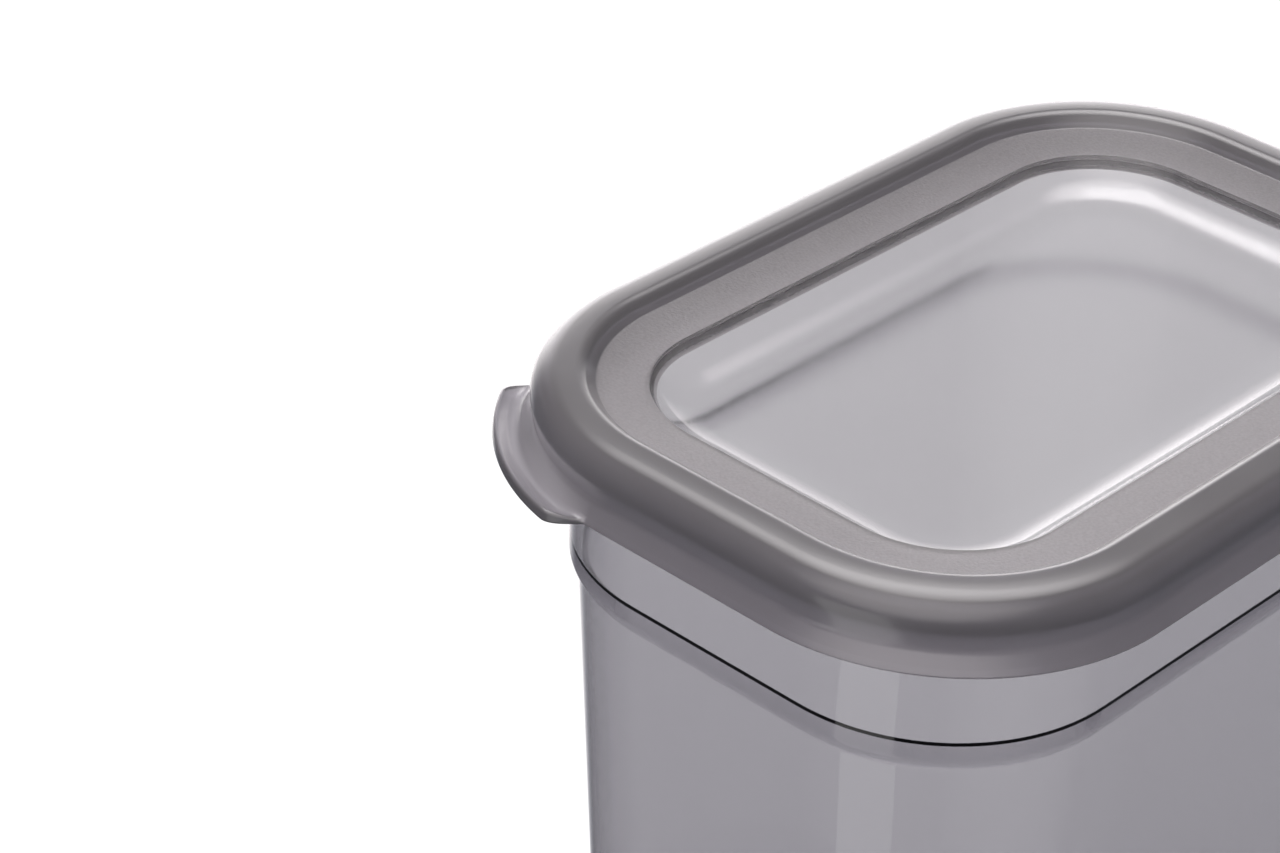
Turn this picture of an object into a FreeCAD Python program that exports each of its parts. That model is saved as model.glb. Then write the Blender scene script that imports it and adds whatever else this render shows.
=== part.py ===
"""Rectangular storage canister with a soft press-on lid, built as a parametric document.

Frame: millimetres, +Z up, origin at the centre of the base, on the surface that it stands on.
X runs across the narrow way, Y along the long way, and -Y is the front, so the lid's
finger tab is at the front left corner.

Both pieces are swept round one outline, the mouth: the canister's own inner wall at the rim.
A section is given in two measures: how far out from the mouth, and how far up from the rim.
"""
import FreeCAD, Part
import math
import os
import Sketcher

SIZES = [
    # alias, value, meaning
    ("mouth_width", 87.2, "clear width of the mouth, along X"),
    ("mouth_length", 131.6, "clear length of the mouth, along Y"),
    ("mouth_corner", 27.8, "radius of the mouth's corners in plan"),
    ("body_height", 160.0, "standing surface to the top of the rim"),
    ("draft_angle", 3.0, "taper of the side walls, degrees"),
    ("wall", 1.8, "thickness of the side walls"),
    ("floor_thickness", 2.4, "thickness of the floor"),
    ("collar_depth", 25.3, "rim down to the ledge inside the collar"),
    ("collar_wall", 1.8, "thickness of the collar"),
    ("ledge_step", 0.9, "how far the ledge stands in from the collar's inner wall"),
    ("ledge_drop", 0.9, "height that the ledge slopes through"),
    ("shoulder_cover", 3.1, "ledge down to the collar's lower edge outside"),
    ("shoulder_step", 1.4, "how far the wall stands in from the collar"),
    ("shoulder_drop", 1.8, "height that the step takes"),
    ("shoulder_round", 3.0, "rounding of the collar's lower edge"),
    ("rim_reach", 5.9, "how far the rim's flange stands out from the mouth"),
    ("rim_thickness", 4.2, "thickness of the rim's flange"),
    ("edge_round", 0.6, "rounding of small edges, halved or doubled where it suits"),
    ("base_round", 7.0, "rounding of the base's outer edge"),
    ("floor_join", 22.0, "mouth in to where each swept section ends under its flat plate"),
    ("join_overlap", 2.0, "how far the flat plates reach back over the swept sections"),
    ("lid_wall", 1.2, "thickness of the lid's panel and flange"),
    ("crown_thickness", 2.2, "lid's thickness over the rim"),
    ("crown_fall", 0.5, "how much lower the crown is at its outer shoulder"),
    ("crown_round", 4.2, "rounding of the crown's outer shoulder"),
    ("crest_round", 2.2, "rounding of the crown's inner shoulder"),
    ("skirt_wall", 2.45, "thickness of the skirt at the crown"),
    ("skirt_waist", 1.0, "thickness of the skirt at its waist"),
    ("waist_depth", 5.7, "rim down to the skirt's waist"),
    ("waist_round", 2.0, "rounding of the waist"),
    ("lip_flare", 2.0, "how far the lip stands out past the waist"),
    ("lip_drop", 2.9, "waist down to the lip's upper edge"),
    ("lip_thickness", 0.9, "thickness of the lip"),
    ("well_inset", 9.2, "mouth in to the edge of the lid's well"),
    ("well_drop", 0.7, "rim down to the edge of the well"),
    ("well_depth", 4.5, "depth of the well"),
    ("well_slope", 55.0, "slope of the well's wall, degrees"),
    ("well_round", 9.3, "sweep from the well's wall to its panel"),
    ("groove_inset", 1.6, "mouth in to the foot of the crown"),
    ("groove_rise", 0.1, "height of that foot above the rim"),
    ("crest_offset", 0.5, "mouth out to the crown's inner shoulder"),
    ("plug_depth", 7.0, "rim down to the tip of the sealing plug"),
    ("plug_wall", 1.2, "thickness of the sealing plug"),
    ("plug_gap", 0.3, "clearance between the plug and the mouth"),
    ("skirt_gap", 0.3, "clearance between the skirt and the rim"),
    ("tab_reach", 4.1, "how far the finger tab stands out past the lip"),
    ("tab_start", 29.5, "where the tab begins, degrees round the corner from the left side"),
    ("tab_end", 82.5, "where the tab ends"),
    ("tab_blend", 7.0, "degrees that each end of the tab takes to swell out"),
    ("tab_wall", 1.0, "thickness of the tab at its valley"),
    ("tab_valley", 0.7, "how far the valley lies past the lip"),
    ("tab_sink", 0.3, "how far the valley lies under the lip's upper edge"),
    ("tab_lift", 1.8, "how far the tab's tip rises over the lip's upper edge"),
    ("tab_lean", 0.35, "how far the tip's upper edge leans back"),
]

doc = FreeCAD.newDocument("canister")
sheet = doc.addObject("Spreadsheet::Sheet", "Sizes")
for row, (alias, number, meaning) in enumerate(SIZES, start=1):
    sheet.set(f"A{row}", alias)
    sheet.set(f"B{row}", str(number))
    sheet.set(f"C{row}", meaning)
    sheet.setAlias(f"B{row}", alias)
doc.recompute()


def value(formula):
    """The number that a formula of the sheet's sizes gives."""
    return float(sheet.evalExpression(formula))


def out(measure):
    """A place on a section, measured outward from the mouth."""
    return f"Sizes.mouth_width / 2 + ({measure})"


def up(measure):
    """A height on a section, measured upward from the rim."""
    return f"Sizes.body_height + ({measure})"


def origin_plane(body, role):
    """The body's own origin plane with that role."""
    return next(item for item in body.Origin.OriginFeatures if item.Role == role)


def add_outline(body, name, plane, corners):
    """A closed sketch through corners of (across, along, radius) formulas, radius None where sharp.

    Every corner is a point whose two distances are bound to the sheet, and each rounded corner
    is an arc tangent to the two lines that meet there.
    """
    sketch = body.newObject("Sketcher::SketchObject", name)
    sketch.AttachmentSupport = [(origin_plane(body, plane), "")]
    sketch.MapMode = "FlatFace"
    places = [FreeCAD.Vector(value(across), value(along), 0) for across, along, radius in corners]
    count = len(corners)
    entries = []
    exits = []
    arcs = {}
    for index, (across, along, radius) in enumerate(corners):
        here = places[index]
        before = (places[index - 1] - here).normalize()
        after = (places[(index + 1) % count] - here).normalize()
        if radius is None:
            entries.append(here)
            exits.append(here)
            continue
        opening = before.getAngle(after)
        length = value(radius)
        entry = here + before * (length / math.tan(opening / 2))
        leave = here + after * (length / math.tan(opening / 2))
        centre = here + (before + after).normalize() * (length / math.sin(opening / 2))
        turns_left = before.cross(after).z < 0
        first, last = (entry, leave) if turns_left else (leave, entry)
        angles = [math.atan2(spot.y - centre.y, spot.x - centre.x) for spot in (first, last)]
        circle = Part.Circle(centre, FreeCAD.Vector(0, 0, 1), length)
        arcs[index] = (Part.ArcOfCircle(circle, angles[0], angles[1]), turns_left)
        entries.append(entry)
        exits.append(leave)
    lines = []
    for index in range(count):
        line = Part.LineSegment(exits[index], entries[(index + 1) % count])
        lines.append(sketch.addGeometry(line, False))
    for index, (across, along, radius) in enumerate(corners):
        line_in = lines[index - 1]
        line_out = lines[index]
        if radius is None:
            sketch.addConstraint(Sketcher.Constraint("Coincident", line_in, 2, line_out, 1))
            anchor = (line_out, 1)
        else:
            arc, turns_left = arcs[index]
            arc_id = sketch.addGeometry(arc, False)
            arc_in, arc_out = (1, 2) if turns_left else (2, 1)
            sketch.addConstraint(Sketcher.Constraint("Tangent", line_in, 2, arc_id, arc_in))
            sketch.addConstraint(Sketcher.Constraint("Tangent", arc_id, arc_out, line_out, 1))
            bend = sketch.addConstraint(Sketcher.Constraint("Radius", arc_id, value(radius)))
            sketch.setExpression(f"Constraints[{bend}]", radius)
            point_id = sketch.addGeometry(Part.Point(places[index]), True)
            sketch.addConstraint(Sketcher.Constraint("PointOnObject", point_id, 1, line_in))
            sketch.addConstraint(Sketcher.Constraint("PointOnObject", point_id, 1, line_out))
            anchor = (point_id, 1)
        for kind, formula in (("DistanceX", across), ("DistanceY", along)):
            datum = sketch.addConstraint(Sketcher.Constraint(kind, *anchor, value(formula)))
            sketch.setExpression(f"Constraints[{datum}]", formula)
    return sketch


def add_mouth_outline(body, name, inset):
    """The mouth's rounded rectangle, drawn in by inset, starting at the middle of the right side."""
    half_width = f"Sizes.mouth_width / 2 - ({inset})"
    half_length = f"Sizes.mouth_length / 2 - ({inset})"
    radius = f"Sizes.mouth_corner - ({inset})"
    corners = [(half_width, "0", None)]
    for side, end in (("1", "1"), ("-1", "1"), ("-1", "-1"), ("1", "-1")):
        corners.append((f"{side} * ({half_width})", f"{end} * ({half_length})", radius))
    return add_outline(body, name, "XY_Plane", corners)


def add_swept_ring(body, name, section_corners):
    """A section swept once round the mouth."""
    path = add_mouth_outline(body, f"{name}_path", "0")
    section = add_outline(body, f"{name}_section", "XZ_Plane", section_corners)
    ring = body.newObject("PartDesign::AdditivePipe", f"{name}_sweep")
    ring.Profile = section
    ring.Spine = path
    doc.recompute()
    return ring


def add_plate(body, name, inset, bottom, thickness):
    """A flat plate with the mouth's outline drawn in by inset."""
    outline = add_mouth_outline(body, f"{name}_outline", inset)
    outline.setExpression(".AttachmentOffset.Base.z", bottom)
    plate = body.newObject("PartDesign::Pad", f"{name}_pad")
    plate.Profile = outline
    plate.setExpression("Length", thickness)
    doc.recompute()
    return plate


# The canister: one moulding. Its wall runs down from a flanged rim through a deep collar,
# steps in at a shoulder, and tapers to a flat base with a rounded edge.

ledge_foot = "Sizes.body_height - Sizes.collar_depth - Sizes.ledge_drop"
shoulder_top = "Sizes.body_height - Sizes.collar_depth - Sizes.shoulder_cover"
shoulder_foot = f"{shoulder_top} - Sizes.shoulder_drop"


def outer_wall(height_formula):
    """How far out the tapered wall's outer face is, at a height above the standing surface."""
    fall = f"({shoulder_foot} - ({height_formula}))"
    return f"Sizes.collar_wall - Sizes.shoulder_step - {fall} * tan(Sizes.draft_angle)"


def inner_wall(height_formula):
    """The same for the wall's inner face."""
    return f"{outer_wall(height_formula)} - Sizes.wall / cos(Sizes.draft_angle)"


canister_section = [
    (out("0"), up("0"), "Sizes.edge_round / 2"),
    (out("0"), up("-Sizes.collar_depth"), "Sizes.edge_round / 2"),
    (out("-Sizes.ledge_step"), ledge_foot, "Sizes.edge_round / 2"),
    (out(inner_wall(shoulder_foot)), shoulder_foot, "Sizes.shoulder_round"),
    (out(inner_wall("Sizes.floor_thickness")), "Sizes.floor_thickness", "Sizes.base_round - Sizes.wall"),
    (out("-Sizes.floor_join"), "Sizes.floor_thickness", None),
    (out("-Sizes.floor_join"), "0", None),
    (out(outer_wall("0")), "0", "Sizes.base_round"),
    (out(outer_wall(shoulder_foot)), shoulder_foot, "Sizes.edge_round"),
    (out("Sizes.collar_wall"), shoulder_top, "Sizes.shoulder_round"),
    (out("Sizes.collar_wall"), up("-Sizes.rim_thickness"), "Sizes.edge_round * 2"),
    (out("Sizes.rim_reach"), up("-Sizes.rim_thickness"), "Sizes.edge_round * 2"),
    (out("Sizes.rim_reach"), up("0"), "Sizes.edge_round * 2"),
]

canister = doc.addObject("PartDesign::Body", "canister_body")
canister.Label = "canister_body"
add_swept_ring(canister, "wall", canister_section)
add_plate(canister, "floor", "Sizes.floor_join - Sizes.join_overlap", "0", "Sizes.floor_thickness")

# The lid: one soft moulding. A shallow well with a flat panel, a flange round it, a crown that
# caps the rim, a plug that seals inside the mouth, and a skirt that flares into a thin lip.

well_run = "Sizes.well_depth / tan(Sizes.well_slope)"
under_shift = "Sizes.lid_wall * tan(Sizes.well_slope / 2)"
skirt_inside = "Sizes.rim_reach + Sizes.skirt_gap"
waist_outside = f"{skirt_inside} + Sizes.skirt_waist"
lip_reach = f"({waist_outside} + Sizes.lip_flare)"
lip_depth = "(Sizes.waist_depth + Sizes.lip_drop)"
lip_slope = "atan(Sizes.lip_drop / Sizes.lip_flare)"
plug_outside = "-Sizes.plug_gap"
plug_inside = "-Sizes.plug_gap - Sizes.plug_wall"

lid_section = [
    (out("-Sizes.floor_join"), up("-Sizes.well_drop - Sizes.well_depth"), None),
    (out(f"-Sizes.well_inset - {well_run}"), up("-Sizes.well_drop - Sizes.well_depth"), "Sizes.well_round"),
    (out("-Sizes.well_inset"), up("-Sizes.well_drop"), "Sizes.edge_round / 2"),
    (out("-Sizes.groove_inset"), up("Sizes.groove_rise"), "Sizes.edge_round"),
    (out("Sizes.crest_offset"), up("Sizes.crown_thickness"), "Sizes.crest_round"),
    (out(f"{skirt_inside} + Sizes.skirt_wall"), up("Sizes.crown_thickness - Sizes.crown_fall"),
     "Sizes.crown_round"),
    (out(waist_outside), up("-Sizes.waist_depth"), "Sizes.waist_round"),
    (out(lip_reach), up(f"-{lip_depth}"), "Sizes.lip_thickness / 3"),
    (out(f"{lip_reach} - Sizes.lip_thickness * sin({lip_slope})"),
     up(f"-{lip_depth} - Sizes.lip_thickness * cos({lip_slope})"), "Sizes.lip_thickness / 3"),
    (out(skirt_inside), up("-Sizes.waist_depth"), "Sizes.waist_round + Sizes.skirt_waist"),
    (out(skirt_inside), up("0"), "Sizes.edge_round / 2"),
    (out(plug_outside), up("0"), None),
    (out(plug_outside), up("-Sizes.plug_depth"), "Sizes.plug_wall / 3"),
    (out(plug_inside), up("-Sizes.plug_depth"), "Sizes.plug_wall / 3"),
    (out(plug_inside), up("Sizes.groove_rise - Sizes.lid_wall"), None),
    (out(f"-Sizes.well_inset + {under_shift}"), up("-Sizes.well_drop - Sizes.lid_wall"), None),
    (out(f"-Sizes.well_inset - {well_run} + {under_shift}"),
     up("-Sizes.well_drop - Sizes.well_depth - Sizes.lid_wall"), "Sizes.well_round + Sizes.lid_wall"),
    (out("-Sizes.floor_join"), up("-Sizes.well_drop - Sizes.well_depth - Sizes.lid_wall"), None),
]

lid_shell = doc.addObject("PartDesign::Body", "lid_shell")
lid_shell.Label = "lid_shell"
add_swept_ring(lid_shell, "rim_cap", lid_section)
add_plate(lid_shell, "panel", "Sizes.floor_join - Sizes.join_overlap",
          up("-Sizes.well_drop - Sizes.well_depth - Sizes.lid_wall"), "Sizes.lid_wall")

# The finger tab: the lip carried further out round part of the front left corner. Its section
# is turned about the corner's own axis, then trimmed to a plan that swells out and back.

tab_root = f"{skirt_inside} + Sizes.skirt_waist / 2"
tab_tip = f"{lip_reach} + Sizes.tab_reach"
tab_section = [
    (tab_root, up("-Sizes.waist_depth + Sizes.skirt_waist / 2"), None),
    (tab_root, up("-Sizes.waist_depth - Sizes.skirt_waist / 2"), None),
    (f"{lip_reach} + Sizes.tab_valley / 2", up(f"-{lip_depth} - Sizes.tab_sink - Sizes.tab_wall"),
     "Sizes.waist_round"),
    (tab_tip, up(f"-{lip_depth} - Sizes.tab_sink"), "Sizes.edge_round"),
    (f"{tab_tip} - Sizes.tab_lean", up(f"-{lip_depth} + Sizes.tab_lift"), "Sizes.edge_round"),
    (f"{lip_reach} + Sizes.tab_valley", up(f"-{lip_depth} - Sizes.tab_sink"), "Sizes.waist_round"),
]

tab_turn = doc.addObject("PartDesign::Body", "tab_turn")
tab_turn.Label = "tab_turn"
tab_sketch = add_outline(tab_turn, "tab_section", "XZ_Plane", [
    (f"Sizes.mouth_corner + ({across})", along, radius) for across, along, radius in tab_section])
tab_ring = tab_turn.newObject("PartDesign::Revolution", "tab_ring")
tab_ring.Profile = tab_sketch
tab_ring.ReferenceAxis = (tab_sketch, ["V_Axis"])
tab_ring.Angle = 360
tab_turn.setExpression(".Placement.Base.x", "Sizes.mouth_corner - Sizes.mouth_width / 2")
tab_turn.setExpression(".Placement.Base.y", "Sizes.mouth_corner - Sizes.mouth_length / 2")
doc.recompute()


def tab_plan_face():
    """The tab's plan about its corner: the lip's radius, swelling to the tab's and back."""
    inner = value(f"Sizes.mouth_corner + ({tab_root}) - 0.1")
    lip = value(f"Sizes.mouth_corner + {lip_reach} - Sizes.lip_thickness / 2")
    tip = value(f"Sizes.mouth_corner + ({tab_tip})") + 0.5
    start = value("Sizes.tab_start")
    end = value("Sizes.tab_end")
    blend = value("Sizes.tab_blend")
    points = []
    steps = 96
    for step in range(steps + 1):
        angle = start - blend / 2 + (end - start + blend) * step / steps
        nearest_end = min(angle - start, end - angle) / blend + 0.5
        share = min(1.0, max(0.0, nearest_end))
        swell = (share * share * (3 - 2 * share)) ** 0.6
        reach = lip + (tip - lip) * swell
        turn = math.radians(180 + angle)
        points.append(FreeCAD.Vector(reach * math.cos(turn), reach * math.sin(turn), 0))
    front = Part.BSplineCurve()
    front.interpolate(points)
    turns = [math.radians(180 + angle) for angle in (start - blend / 2, end + blend / 2)]
    inside = [FreeCAD.Vector(inner * math.cos(turn), inner * math.sin(turn), 0) for turn in turns]
    circle = Part.Circle(FreeCAD.Vector(0, 0, 0), FreeCAD.Vector(0, 0, 1), inner)
    back = Part.ArcOfCircle(circle, turns[0], turns[1])
    near_side = Part.LineSegment(inside[0], points[0])
    far_side = Part.LineSegment(points[-1], inside[1])
    edges = [curve.toShape() for curve in (front, far_side, back, near_side)]
    return Part.Face(Part.Wire(Part.__sortEdges__(edges)))


tab_plan = doc.addObject("Part::Feature", "tab_plan")
tab_plan.Shape = tab_plan_face()
tab_plan.setExpression(".Placement.Base.x", "Sizes.mouth_corner - Sizes.mouth_width / 2")
tab_plan.setExpression(".Placement.Base.y", "Sizes.mouth_corner - Sizes.mouth_length / 2")
tab_plan.setExpression(".Placement.Base.z", up(f"-{lip_depth} - 4 * Sizes.tab_wall"))
tab_block = doc.addObject("Part::Extrusion", "tab_block")
tab_block.Base = tab_plan
tab_block.DirMode = "Custom"
tab_block.Dir = FreeCAD.Vector(0, 0, 1)
tab_block.setExpression("LengthFwd", f"{lip_depth} + 4 * Sizes.tab_wall")
tab_block.Solid = True
tab = doc.addObject("Part::Common", "finger_tab")
tab.Base = tab_turn
tab.Tool = tab_block
lid = doc.addObject("Part::MultiFuse", "lid")
lid.Label = "lid"
lid.Shapes = [lid_shell, tab]
lid.Refine = True
doc.recompute()

for item in doc.Objects:
    if "Invalid" in item.State or "Error" in item.State:
        raise RuntimeError(f"{item.Label} failed: {item.State}")

os.makedirs("parts", exist_ok=True)
for node in (canister, lid):
    shape = node.Shape
    if shape.isNull() or not shape.isValid() or len(shape.Solids) != 1:
        raise RuntimeError(f"{node.Label} isn't one valid solid")
    shape.exportStep(f"parts/{node.Label}.step")
    box = shape.BoundBox
    print(f"{node.Label}: {shape.Volume / 1000:.1f} cm3, box "
          f"{box.XMin:.2f} {box.YMin:.2f} {box.ZMin:.2f} to {box.XMax:.2f} {box.YMax:.2f} {box.ZMax:.2f}")
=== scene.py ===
import math

import bpy
from mathutils import Matrix, Vector


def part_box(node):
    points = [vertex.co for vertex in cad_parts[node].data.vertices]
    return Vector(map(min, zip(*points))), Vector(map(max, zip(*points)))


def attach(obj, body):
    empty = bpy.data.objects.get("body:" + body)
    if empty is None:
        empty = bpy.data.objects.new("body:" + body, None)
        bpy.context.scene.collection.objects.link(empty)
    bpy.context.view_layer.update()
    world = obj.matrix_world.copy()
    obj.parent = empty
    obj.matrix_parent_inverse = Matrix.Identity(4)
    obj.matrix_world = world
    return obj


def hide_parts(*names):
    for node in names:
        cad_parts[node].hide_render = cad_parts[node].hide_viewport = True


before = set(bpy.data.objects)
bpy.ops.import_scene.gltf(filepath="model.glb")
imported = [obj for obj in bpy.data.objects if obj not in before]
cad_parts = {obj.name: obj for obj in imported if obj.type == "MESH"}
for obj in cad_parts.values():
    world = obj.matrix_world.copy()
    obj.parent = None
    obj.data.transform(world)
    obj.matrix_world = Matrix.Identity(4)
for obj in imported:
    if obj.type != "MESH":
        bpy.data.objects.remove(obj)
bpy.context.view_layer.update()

# Lengths are in metres. A section is a closed outline of (out, up, radius) corners: how far
# out from the canister's mouth, how far up from the top of its rim, and how rounded.
MM = 0.001
CLOSE = 1e-6

BODY_HIGH = Vector(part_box("canister_body")[1])
LID_HIGH = Vector(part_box("lid")[1])

RIM_REACH = 5.9 * MM
RIM_TOP = BODY_HIGH.z
MOUTH_HALF_WIDTH = BODY_HIGH.x - RIM_REACH
MOUTH_HALF_LENGTH = BODY_HIGH.y - RIM_REACH
MOUTH_CORNER = 27.8 * MM
FRONT_LEFT = 2  # the corner that carries the tab, counted from the back right one

WALL = 1.8 * MM
DRAFT = math.radians(3.0)
FLAT_JOIN = 22.0 * MM  # how far in the sections stop, where one flat face closes them
EDGE_ROUND = 0.3 * MM

LIP_REACH = LID_HIGH.x - BODY_HIGH.x + RIM_REACH
GROOVE_INSET = 1.6 * MM
WELL_INSET = 9.2 * MM
WELL_DROP = 0.7 * MM
WELL_DEPTH = 4.5 * MM
WELL_SLOPE = math.radians(55.0)
WELL_ROUND = 9.3 * MM
LID_WALL = 1.2 * MM

# The tab's ends and the width of its blends are in degrees round its corner.
TAB_REACH = 4.1 * MM
TAB_START = 29.5
TAB_END = 82.5
TAB_BLEND = 7.0
TAB_FULLNESS = 0.6  # below 1, so that the blends swell early
TAB_FINENESS = 3  # how many times more steps the tab's corner has than the others

PLASTIC_IOR = 1.5
NOISE_LOW = 0.3
NOISE_HIGH = 0.7
WHITE = (1, 1, 1, 1)
BLACK = (0, 0, 0, 1)
BOUNCES = 24  # enough for light to get through the lid and both walls

# The sockets of a colour Mix node and of a Mix Shader node, whose names are not all unique.
MIX_SHARE = 0
MIX_FIRST_COLOUR = 6
MIX_SECOND_COLOUR = 7
MIX_COLOUR = 2
MIX_FIRST_SHADER = 1
MIX_SECOND_SHADER = 2


def rounded(corners, steps):
    """Points along a section whose corners are rounded, each by a number of steps."""
    points = []
    count = len(corners)
    for index, (out, up, radius) in enumerate(corners):
        here = Vector((out, up))
        if not radius:
            points.append(here)
            continue
        before = (Vector(corners[index - 1][:2]) - here).normalized()
        after = (Vector(corners[(index + 1) % count][:2]) - here).normalized()
        half = before.angle(after) / 2
        centre = here + (before + after).normalized() * (radius / math.sin(half))
        first = here + before * (radius / math.tan(half)) - centre
        last = here + after * (radius / math.tan(half)) - centre
        sweep = first.angle_signed(last)
        for step in range(steps + 1):
            turn = -sweep * step / steps
            spoke = Matrix.Rotation(turn, 2) @ first
            points.append(centre + spoke)
    return points


def body_section():
    """The canister's wall, from the mouth down inside, under the base and up outside."""
    rim_foot = -4.2 * MM
    rim_round = 1.2 * MM
    ledge = -25.3 * MM
    ledge_step = 0.9 * MM
    shoulder_top = -28.4 * MM
    shoulder_foot = -30.2 * MM
    shoulder_round = 3.0 * MM
    shoulder_foot_round = 0.6 * MM
    wall_top = 0.4 * MM
    floor_thickness = 2.4 * MM
    floor_round = 5.2 * MM
    base_round = 7.0 * MM

    def outer(up):
        return wall_top - (shoulder_foot - up) * math.tan(DRAFT)

    def inner(up):
        return outer(up) - WALL / math.cos(DRAFT)

    base = -RIM_TOP
    floor = base + floor_thickness
    return [
        (0, 0, EDGE_ROUND),
        (0, ledge, EDGE_ROUND),
        (-ledge_step, ledge - ledge_step, EDGE_ROUND),
        (inner(shoulder_foot), shoulder_foot, shoulder_round),
        (inner(floor), floor, floor_round),
        (-FLAT_JOIN, floor, 0),
        (-FLAT_JOIN, base, 0),
        (outer(base), base, base_round),
        (outer(shoulder_foot), shoulder_foot, shoulder_foot_round),
        (WALL, shoulder_top, shoulder_round),
        (WALL, rim_foot, rim_round),
        (RIM_REACH, rim_foot, rim_round),
        (RIM_REACH, 0, rim_round),
    ]


def lip_corners(tab):
    """The lip's top, the two corners of its edge and its underside, drawn out to the tab."""
    tip = LIP_REACH + TAB_REACH
    lip = [(8.45 * MM, -7.7 * MM, 1.2 * MM), (LIP_REACH, -8.6 * MM, 0.25 * MM),
           (LIP_REACH - 0.72 * MM, -9.1 * MM, 0.25 * MM), (7.7 * MM, -8.2 * MM, 1.2 * MM)]
    finger = [(9.9 * MM, -8.9 * MM, 1.8 * MM), (tip - 0.35 * MM, -6.8 * MM, 0.5 * MM),
              (tip, -8.9 * MM, 0.6 * MM), (9.5 * MM, -9.85 * MM, 1.8 * MM)]
    return [Vector(plain).lerp(Vector(full), tab) for plain, full in zip(lip, finger)]


def lid_section(tab):
    """The lid, from its panel out over the rim to the lip, and back in underneath.

    The lip is drawn out into the finger tab by a share from 0 to 1.
    """
    well_run = WELL_DEPTH / math.tan(WELL_SLOPE)
    panel = -WELL_DROP - WELL_DEPTH
    shift = LID_WALL * math.tan(WELL_SLOPE / 2)
    flange_end = 0.1 * MM
    groove_round = 0.6 * MM
    crest_out = 0.5 * MM
    crest_height = 2.2 * MM
    crest_round = 2.2 * MM
    crown_wall = 2.45 * MM
    crown_height = 1.7 * MM
    crown_round = 4.2 * MM
    skirt = RIM_REACH + 0.3 * MM
    neck_wall = 1.0 * MM
    neck = -5.7 * MM
    neck_round = 1.6 * MM
    plug_outer = -0.3 * MM
    plug_inner = -1.5 * MM
    plug_foot = -7.0 * MM
    plug_top_round = 0.2 * MM
    plug_round = 0.4 * MM
    return [
        (-FLAT_JOIN, panel, 0),
        (-WELL_INSET - well_run, panel, WELL_ROUND),
        (-WELL_INSET, -WELL_DROP, EDGE_ROUND),
        (-GROOVE_INSET, flange_end, groove_round),
        (crest_out, crest_height, crest_round),
        (skirt + crown_wall, crown_height, crown_round),
        (skirt + neck_wall, neck, neck_round),
        *lip_corners(tab),
        (skirt, neck, neck_round),
        (skirt, 0, EDGE_ROUND),
        (plug_outer, 0, plug_top_round),
        (plug_outer, plug_foot, plug_round),
        (plug_inner, plug_foot, plug_round),
        (plug_inner, flange_end - LID_WALL, plug_round),
        (-WELL_INSET + shift, -WELL_DROP - LID_WALL, plug_round),
        (-WELL_INSET - well_run + shift, panel - LID_WALL, WELL_ROUND + LID_WALL),
        (-FLAT_JOIN, panel - LID_WALL, 0),
    ]


def mouth_stations(corner_steps, straight_steps):
    """(place on the mouth, outward direction, corner, degrees round it) all the way round."""
    stations = []
    sides = [(1, 1), (-1, 1), (-1, -1), (1, -1)]
    centres = [Vector((side * (MOUTH_HALF_WIDTH - MOUTH_CORNER),
                       end * (MOUTH_HALF_LENGTH - MOUTH_CORNER))) for side, end in sides]
    for corner, centre in enumerate(centres):
        steps = corner_steps * (TAB_FINENESS if corner == FRONT_LEFT else 1)
        for step in range(steps + 1):
            angle = 90 * step / steps
            turn = math.radians(90 * corner + angle)
            normal = Vector((math.cos(turn), math.sin(turn)))
            stations.append((centre + normal * MOUTH_CORNER, normal, corner, angle))
        next_centre = centres[(corner + 1) % len(centres)]
        for step in range(1, straight_steps):
            place = centre.lerp(next_centre, step / straight_steps) + normal * MOUTH_CORNER
            stations.append((place, normal, None, 0))
    return stations


def tab_share(corner, angle):
    """How much of the finger tab shows at a place round the rim, from 0 to 1."""
    if corner != FRONT_LEFT:
        return 0.0
    nearest = min(angle - TAB_START, TAB_END - angle) / TAB_BLEND + 0.5
    share = min(1.0, max(0.0, nearest))
    return (share * share * (3 - 2 * share)) ** TAB_FULLNESS


def swept(name, section_at, corner_steps, straight_steps, arc_steps, limits=()):
    """A closed mesh of a section swept round the mouth, its two inner ends capped flat.

    Faces further in than the first limit take the second material, and so on.
    """
    stations = mouth_stations(corner_steps, straight_steps)
    vertices = []
    for place, normal, corner, angle in stations:
        section = rounded(section_at(tab_share(corner, angle)), arc_steps)
        for point in section:
            spot = place + normal * point.x
            vertices.append((spot.x, spot.y, RIM_TOP + point.y))
    size = len(section)
    count = len(stations)
    lowest = min(point.x for point in section)
    ends = [index for index, point in enumerate(section) if point.x < lowest + CLOSE]
    faces = []
    slots = []
    for ring in range(count):
        following = (ring + 1) % count
        for index in range(size):
            after = (index + 1) % size
            if index in ends and after in ends:
                continue
            faces.append((ring * size + index, following * size + index,
                          following * size + after, ring * size + after))
            furthest = max(section[index].x, section[after].x)
            slots.append(sum(furthest < limit + CLOSE for limit in limits))
    for index in ends:
        faces.append([ring * size + index for ring in range(count)])
        slots.append(len(limits))
    mesh = bpy.data.meshes.new(name)
    mesh.from_pydata(vertices, [], faces)
    mesh.polygons.foreach_set("material_index", slots)
    piece = bpy.data.objects.new(name, mesh)
    bpy.context.scene.collection.objects.link(piece)
    bpy.context.view_layer.objects.active = piece
    piece.select_set(True)
    bpy.ops.object.mode_set(mode="EDIT")
    bpy.ops.mesh.select_all(action="SELECT")
    bpy.ops.mesh.normals_make_consistent(inside=False)
    bpy.ops.object.mode_set(mode="OBJECT")
    piece.select_set(False)
    mesh.shade_smooth()
    return piece


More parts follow.
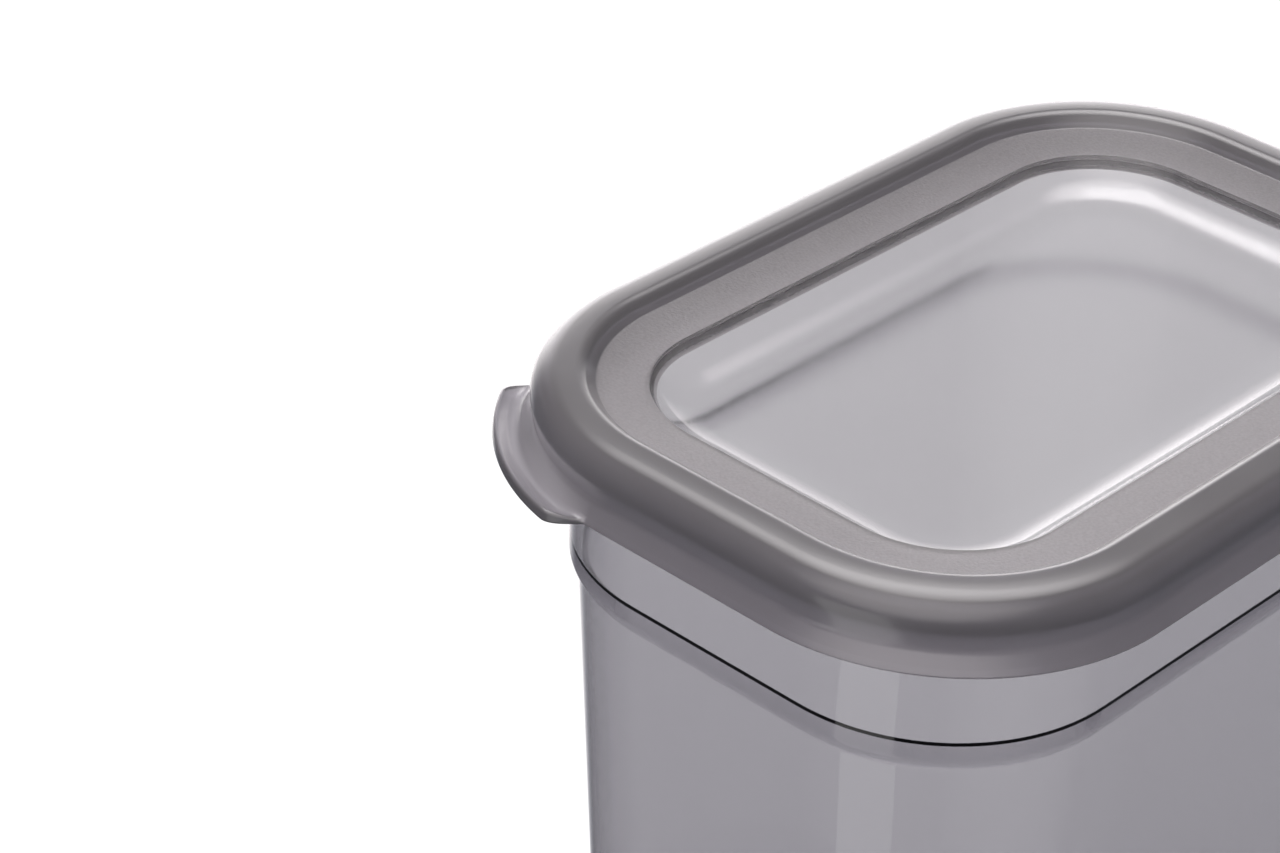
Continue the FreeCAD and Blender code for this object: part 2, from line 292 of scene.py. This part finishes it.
def node_tree(name):
    """A new material with a Principled shader. Returns (material, tree, shader, output)."""
    material = bpy.data.materials.new(name)
    material.use_nodes = True
    tree = material.node_tree
    tree.nodes.clear()
    shader = tree.nodes.new("ShaderNodeBsdfPrincipled")
    output = tree.nodes.new("ShaderNodeOutputMaterial")
    tree.links.new(shader.outputs["BSDF"], output.inputs["Surface"])
    return material, tree, shader, output


def plastic(name, transmission):
    """A new see-through plastic. Returns (material, tree, shader, output)."""
    material, tree, shader, output = node_tree(name)
    shader.inputs["Transmission Weight"].default_value = transmission
    shader.inputs["IOR"].default_value = PLASTIC_IOR
    return material, tree, shader, output


def glowing(name, base, strength):
    """A new material that gives off plain white light. Returns (material, shader)."""
    material, _, shader, _ = node_tree(name)
    shader.inputs["Base Color"].default_value = base
    shader.inputs["Emission Color"].default_value = WHITE
    shader.inputs["Emission Strength"].default_value = strength
    return material, shader


def add_absorption(tree, output, colour, density):
    """Tints the plastic by the depth that light travels in it."""
    absorb = tree.nodes.new("ShaderNodeVolumeAbsorption")
    absorb.inputs["Color"].default_value = (*colour, 1)
    absorb.inputs["Density"].default_value = density
    tree.links.new(absorb.outputs["Volume"], output.inputs["Volume"])


def add_noise(tree, scale, detail):
    """Noise in the piece's own frame, so that it rides with the piece."""
    place = tree.nodes.new("ShaderNodeTexCoord")
    noise = tree.nodes.new("ShaderNodeTexNoise")
    noise.inputs["Scale"].default_value = scale
    noise.inputs["Detail"].default_value = detail
    tree.links.new(place.outputs["Object"], noise.inputs["Vector"])
    return noise.outputs["Fac"]


def add_range(tree, source, low, high, to_low, to_high, smooth=False):
    """A value that runs from to_low to to_high as the source runs from low to high."""
    spread = tree.nodes.new("ShaderNodeMapRange")
    if smooth:
        spread.interpolation_type = "SMOOTHSTEP"
    spread.inputs["From Min"].default_value = low
    spread.inputs["From Max"].default_value = high
    spread.inputs["To Min"].default_value = to_low
    spread.inputs["To Max"].default_value = to_high
    tree.links.new(source, spread.inputs["Value"])
    return spread.outputs["Result"]


def add_mix(tree, share, first, second):
    """A colour that runs from the first to the second as share runs from 0 to 1."""
    tone = tree.nodes.new("ShaderNodeMix")
    tone.data_type = "RGBA"
    tone.inputs[MIX_FIRST_COLOUR].default_value = (*first, 1)
    tone.inputs[MIX_SECOND_COLOUR].default_value = (*second, 1)
    tree.links.new(share, tone.inputs[MIX_SHARE])
    return tone.outputs[MIX_COLOUR]


def add_roughness(tree, shader, noise, smoothest, roughest):
    """Roughness that wanders between two values with the noise."""
    roughness = add_range(tree, noise, NOISE_LOW, NOISE_HIGH, smoothest, roughest)
    tree.links.new(roughness, shader.inputs["Roughness"])


def add_bump(tree, shader, height, strength, distance):
    """Fine relief from a height that runs from 0 to 1."""
    bump = tree.nodes.new("ShaderNodeBump")
    bump.inputs["Strength"].default_value = strength
    bump.inputs["Distance"].default_value = distance
    tree.links.new(height, bump.inputs["Height"])
    tree.links.new(bump.outputs["Normal"], shader.inputs["Normal"])


def smoke_plastic():
    """Clear, polished, smoke-grey moulding."""
    material, tree, shader, output = plastic("smoke_clear_plastic", 1.0)
    shader.inputs["Base Color"].default_value = WHITE
    waves = add_noise(tree, scale=35.0, detail=1.0)
    add_roughness(tree, shader, waves, 0.015, 0.04)
    add_bump(tree, shader, waves, strength=0.05, distance=0.0004)
    add_absorption(tree, output, (0.50, 0.485, 0.525), density=510)
    return material


def satin_plastic():
    """The lid's crown, skirt and lip: translucent smoke-grey with a soft sheen."""
    material, tree, shader, output = plastic("satin_lid_plastic", 0.8)
    shader.inputs["Coat Weight"].default_value = 1.0
    shader.inputs["Coat Roughness"].default_value = 0.14
    clouds = add_noise(tree, scale=60.0, detail=2.0)
    add_roughness(tree, shader, clouds, 0.30, 0.36)
    tone = add_mix(tree, clouds, (0.49, 0.46, 0.485), (0.55, 0.52, 0.54))
    tree.links.new(tone, shader.inputs["Base Color"])
    add_absorption(tree, output, (0.47, 0.475, 0.55), density=470)
    return material


def grained_plastic():
    """The lid's flange: the same plastic from a part of the mould with a fine grain."""
    material, tree, shader, _ = plastic("grained_lid_plastic", 0.75)
    grain = add_noise(tree, scale=2200.0, detail=3.0)
    add_roughness(tree, shader, grain, 0.30, 0.42)
    tone = add_mix(tree, grain, (0.30, 0.28, 0.29), (0.58, 0.555, 0.57))
    tree.links.new(tone, shader.inputs["Base Color"])
    add_bump(tree, shader, grain, strength=0.3, distance=0.0002)
    return material


def panel_plastic():
    """The lid's well: the same plastic from a polished part of the mould, nearly clear."""
    material, tree, shader, _ = plastic("polished_lid_plastic", 1.0)
    shader.inputs["Base Color"].default_value = (0.85, 0.84, 0.845, 1)
    waves = add_noise(tree, scale=30.0, detail=1.0)
    add_roughness(tree, shader, waves, 0.08, 0.12)
    add_bump(tree, shader, waves, strength=0.04, distance=0.0004)
    return material


def aim(holder, place, target):
    """Puts a lamp or a card at a place, facing the target."""
    holder.location = place
    holder.rotation_euler = (Vector(target) - Vector(place)).to_track_quat("-Z", "Y").to_euler()


def rectangle(name, half_width, half_length):
    """A flat rectangle about the origin."""
    corners = [(-half_width, -half_length, 0), (half_width, -half_length, 0),
               (half_width, half_length, 0), (-half_width, half_length, 0)]
    mesh = bpy.data.meshes.new(name)
    mesh.from_pydata(corners, [], [(0, 1, 2, 3)])
    holder = bpy.data.objects.new(name, mesh)
    bpy.context.scene.collection.objects.link(holder)
    return holder


def key_light():
    """One soft lamp, high at the back left, that doesn't show as a reflection."""
    lamp = bpy.data.lights.new("key", "AREA")
    lamp.shape = "RECTANGLE"
    lamp.size = 0.6
    lamp.size_y = 0.6
    lamp.energy = 5
    holder = bpy.data.objects.new("key", lamp)
    bpy.context.scene.collection.objects.link(holder)
    upper_wall = (0, 0, RIM_TOP * 0.7)
    aim(holder, place=(-0.35, 0.32, 1.2), target=upper_wall)
    holder.visible_glossy = False


def front_card():
    """A glowing card that only shows as a reflection: the stripe in the front right corner."""
    card = rectangle("front_card", half_width=0.045, half_length=0.1)
    aim(card, place=(0.03, -0.2, 0.05), target=(0, 0, 0.09))
    material, _ = glowing("front_card", BLACK, 0.9)
    card.data.materials.append(material)
    card.visible_camera = False
    card.visible_diffuse = False
    card.visible_transmission = False
    card.visible_shadow = False


def pale_floor():
    """A wide pale floor that glows enough to read as plain white."""
    floor = rectangle("floor", half_width=30.0, half_length=30.0)
    material, shader = glowing("pale_floor", (0.15, 0.15, 0.15, 1), 0.86)
    shader.inputs["Roughness"].default_value = 0.8
    floor.data.materials.append(material)
    floor.visible_glossy = False
    floor.visible_diffuse = False


def sky(tree):
    """A dim surround with soft bright patches, which the camera itself sees as plain white."""
    background = tree.nodes["Background"]
    plain = tree.nodes.new("ShaderNodeBackground")
    either = tree.nodes.new("ShaderNodeMixShader")
    path = tree.nodes.new("ShaderNodeLightPath")
    tree.links.new(path.outputs["Is Camera Ray"], either.inputs[MIX_SHARE])
    tree.links.new(background.outputs["Background"], either.inputs[MIX_FIRST_SHADER])
    tree.links.new(plain.outputs["Background"], either.inputs[MIX_SECOND_SHADER])
    tree.links.new(either.outputs["Shader"], tree.nodes["World Output"].inputs["Surface"])
    plain.inputs["Color"].default_value = WHITE
    place = tree.nodes.new("ShaderNodeTexCoord")
    # Each patch: its direction, the cosines from it where it starts and where it is full,
    # and how bright the surround is outside it and at its full.
    patches = [((-0.68, 0.70, -0.1), 0.76, 0.98, 0.1, 1.9),
               ((-0.22, 0.24, 0.95), 0.84, 0.98, 0, 3.2),
               ((-0.80, 0.58, 0.12), 0.93, 0.995, 0, 0.9),
               ((0.3, -0.62, 0.65), 0.6, 0.95, 0, 1.4)]
    total = None
    for direction, start, full, outside, inside in patches:
        facing = tree.nodes.new("ShaderNodeVectorMath")
        facing.operation = "DOT_PRODUCT"
        facing.inputs[1].default_value = Vector(direction).normalized()
        tree.links.new(place.outputs["Generated"], facing.inputs[0])
        cosine = facing.outputs["Value"]
        glow = add_range(tree, cosine, start, full, outside, inside, smooth=True)
        if total is None:
            total = glow
            continue
        both = tree.nodes.new("ShaderNodeMath")
        both.operation = "ADD"
        tree.links.new(total, both.inputs[0])
        tree.links.new(glow, both.inputs[1])
        total = both.outputs["Value"]
    tint = add_mix(tree, total, (0.84, 0.88, 1.0), (1.0, 0.965, 0.975))
    tree.links.new(tint, background.inputs["Color"])
    tree.links.new(total, background.inputs["Strength"])


def studio():
    """A plain pale floor and surround, one soft lamp and one card."""
    scene = bpy.context.scene
    scene.view_settings.view_transform = "Standard"
    scene.cycles.max_bounces = BOUNCES
    scene.cycles.transmission_bounces = BOUNCES
    scene.world = bpy.data.worlds.new("studio")
    scene.world.use_nodes = True
    sky(scene.world.node_tree)
    pale_floor()
    key_light()
    front_card()


def camera():
    """Looks down on the front right corner from close by, with the base out of view."""
    azimuth = math.radians(43.29)
    elevation = math.radians(32.11)
    roll = math.radians(1.824)
    distance = 531.0 * MM
    across = 57.74 * MM
    above = 13.48 * MM
    back = Vector((math.sin(azimuth) * math.cos(elevation),
                   -math.cos(azimuth) * math.cos(elevation), math.sin(elevation)))
    right = Vector((math.cos(azimuth), math.sin(azimuth), 0))
    upward = back.cross(right)
    turned_right = right * math.cos(roll) + upward * math.sin(roll)
    turned_up = upward * math.cos(roll) - right * math.sin(roll)
    lens = bpy.data.cameras.new("camera")
    lens.sensor_width = 36
    lens.lens = 102.1
    lens.clip_start = 0.01
    holder = bpy.data.objects.new("camera", lens)
    bpy.context.scene.collection.objects.link(holder)
    pivot = Vector((0, 0, RIM_TOP - WELL_DROP))
    place = pivot + back * distance - turned_right * across - turned_up * above
    axes = Matrix((turned_right, turned_up, back)).transposed().to_4x4()
    holder.matrix_world = Matrix.Translation(place) @ axes
    bpy.context.scene.camera = holder


body = swept("canister_shell", lambda tab: body_section(),
             corner_steps=24, straight_steps=2, arc_steps=6)
body.data.materials.append(smoke_plastic())
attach(body, "canister")
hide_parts("canister_body")

lid = swept("lid_shell", lid_section,
            corner_steps=45, straight_steps=2, arc_steps=6, limits=(-GROOVE_INSET, -WELL_INSET))
lid.data.materials.append(satin_plastic())
lid.data.materials.append(grained_plastic())
lid.data.materials.append(panel_plastic())
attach(lid, "lid")
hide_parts("lid")

studio()
camera()
